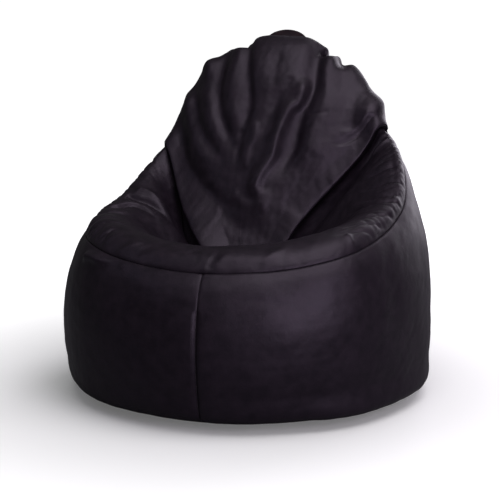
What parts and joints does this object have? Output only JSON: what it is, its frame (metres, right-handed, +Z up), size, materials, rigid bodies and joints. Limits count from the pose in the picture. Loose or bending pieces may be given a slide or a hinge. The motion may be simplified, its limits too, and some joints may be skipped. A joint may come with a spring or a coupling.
{
  "type": "bean bag chair",
  "caption": "Leatherette bean bag chair with a scooped round seat, low arms and a tall soft back, on a round base, over a zipped liner of foam beads.",
  "frame": {"origin": "on the floor under the middle of the chair's bounding box", "axes": "+X is the right-hand side seen from the front, the seat opens towards -Y, +Z is up"},
  "size_m": [0.8792, 0.9208, 0.8371],
  "materials": {
    "leatherette": "near-black faux leather with a faint aubergine cast, fine grain, satin",
    "thread": "dark bonded sewing thread",
    "zip_tape": "black woven zip tape",
    "zip_coil": "black nylon coil teeth",
    "zip_metal": "gunmetal-painted zinc",
    "liner_cloth": "plain white non-woven lining cloth",
    "bead_foam": "loose white foam beads taken as one soft mass",
    "label_cloth": "blank off-white woven label"
  },
  "bodies": {
    "bag": {"side_panel_right": "leatherette", "side_panel_left": "leatherette", "seat_panel": "leatherette", "backrest_panel": "leatherette", "base_panel": "leatherette", "front_seam_thread": "thread", "rear_seam_thread": "thread", "seat_seam_thread": "thread", "crown_seam_thread": "thread", "backrest_seam_thread": "thread", "base_seam_thread": "thread", "handle_tab_left": "leatherette", "handle_tab_right": "leatherette", "zip_tape_left": "zip_tape", "zip_tape_right": "zip_tape", "zip_coil_left": "zip_coil", "zip_coil_right": "zip_coil", "zip_stop_lower": "zip_metal", "zip_stop_upper": "zip_metal", "liner_right": "liner_cloth", "liner_left": "liner_cloth", "liner_base": "liner_cloth", "liner_zip_tape_left": "zip_tape", "liner_zip_tape_right": "zip_tape", "liner_zip_coil_left": "zip_coil", "liner_zip_coil_right": "zip_coil", "liner_zip_stop_lower": "zip_metal", "liner_zip_stop_upper": "zip_metal", "bead_fill": "bead_foam", "care_label": "label_cloth"},
    "zip_slider": {"zip_slider": "zip_metal"},
    "zip_pull": {"zip_pull": "zip_metal"},
    "liner_zip_slider": {"liner_zip_slider": "zip_metal"},
    "handle": {"handle_strap": "leatherette"}
  },
  "joints": [
    {"name": "zip_travel", "type": "hinge", "parent": "bag", "child": "zip_slider", "pos_m": [0, -0.44, 0.36], "axis": [1, 0, 0], "range_deg": [0, 26.8]},
    {"name": "zip_pull_swing", "type": "hinge", "parent": "zip_slider", "child": "zip_pull", "pos_m": [0, 0.42881, 0.11095], "axis": [1, 0, 0], "range_deg": [-12, 160]},
    {"name": "liner_zip_travel", "type": "hinge", "parent": "bag", "child": "liner_zip_slider", "pos_m": [0, -0.44, 0.36], "axis": [1, 0, 0], "range_deg": [0, 26.8]},
    {"name": "handle_swing", "type": "hinge", "parent": "bag", "child": "handle", "pos_m": [0, 0.41941, 0.78702], "axis": [1, 0, 0], "range_deg": [-100, 50], "stiffness_Nm_per_rad": 0.15}
  ]
}
